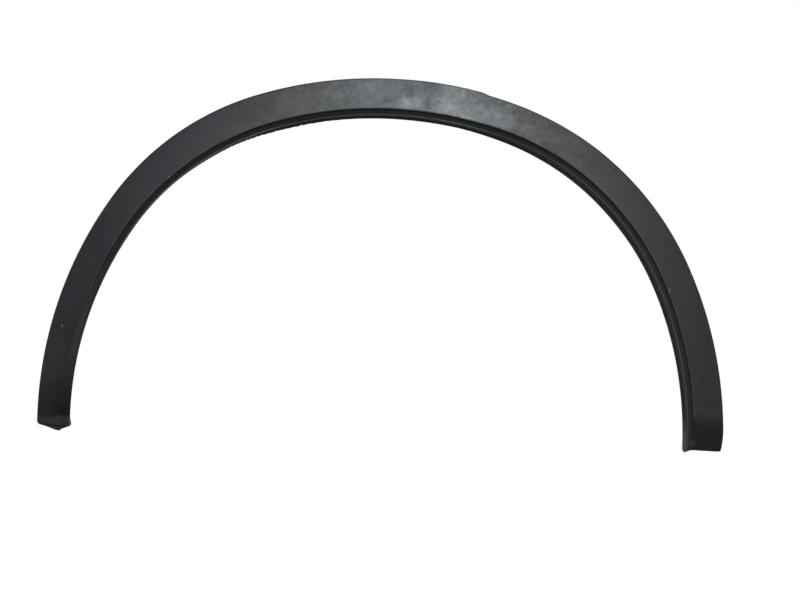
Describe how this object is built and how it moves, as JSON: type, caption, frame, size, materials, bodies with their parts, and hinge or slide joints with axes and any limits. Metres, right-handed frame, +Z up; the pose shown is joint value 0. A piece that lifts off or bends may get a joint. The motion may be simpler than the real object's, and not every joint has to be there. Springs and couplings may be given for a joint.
{
  "type": "wheel arch moulding",
  "caption": "Black plastic wheel arch moulding: a crowned band with a stepped inner edge, a return wall and clip seats behind.",
  "frame": {"origin": "middle of the back of the clip seat at the top of the arch", "axes": "+X along the car, +Y into the car's side, +Z up; the face looks along -Y"},
  "size_m": [0.852, 0.0335, 0.4692],
  "materials": {
    "grained_plastic": "fine moulded grain, unpainted charcoal black, hazed over the crown"
  },
  "bodies": {
    "root": {"moulding": "grained_plastic"}
  },
  "joints": []
}
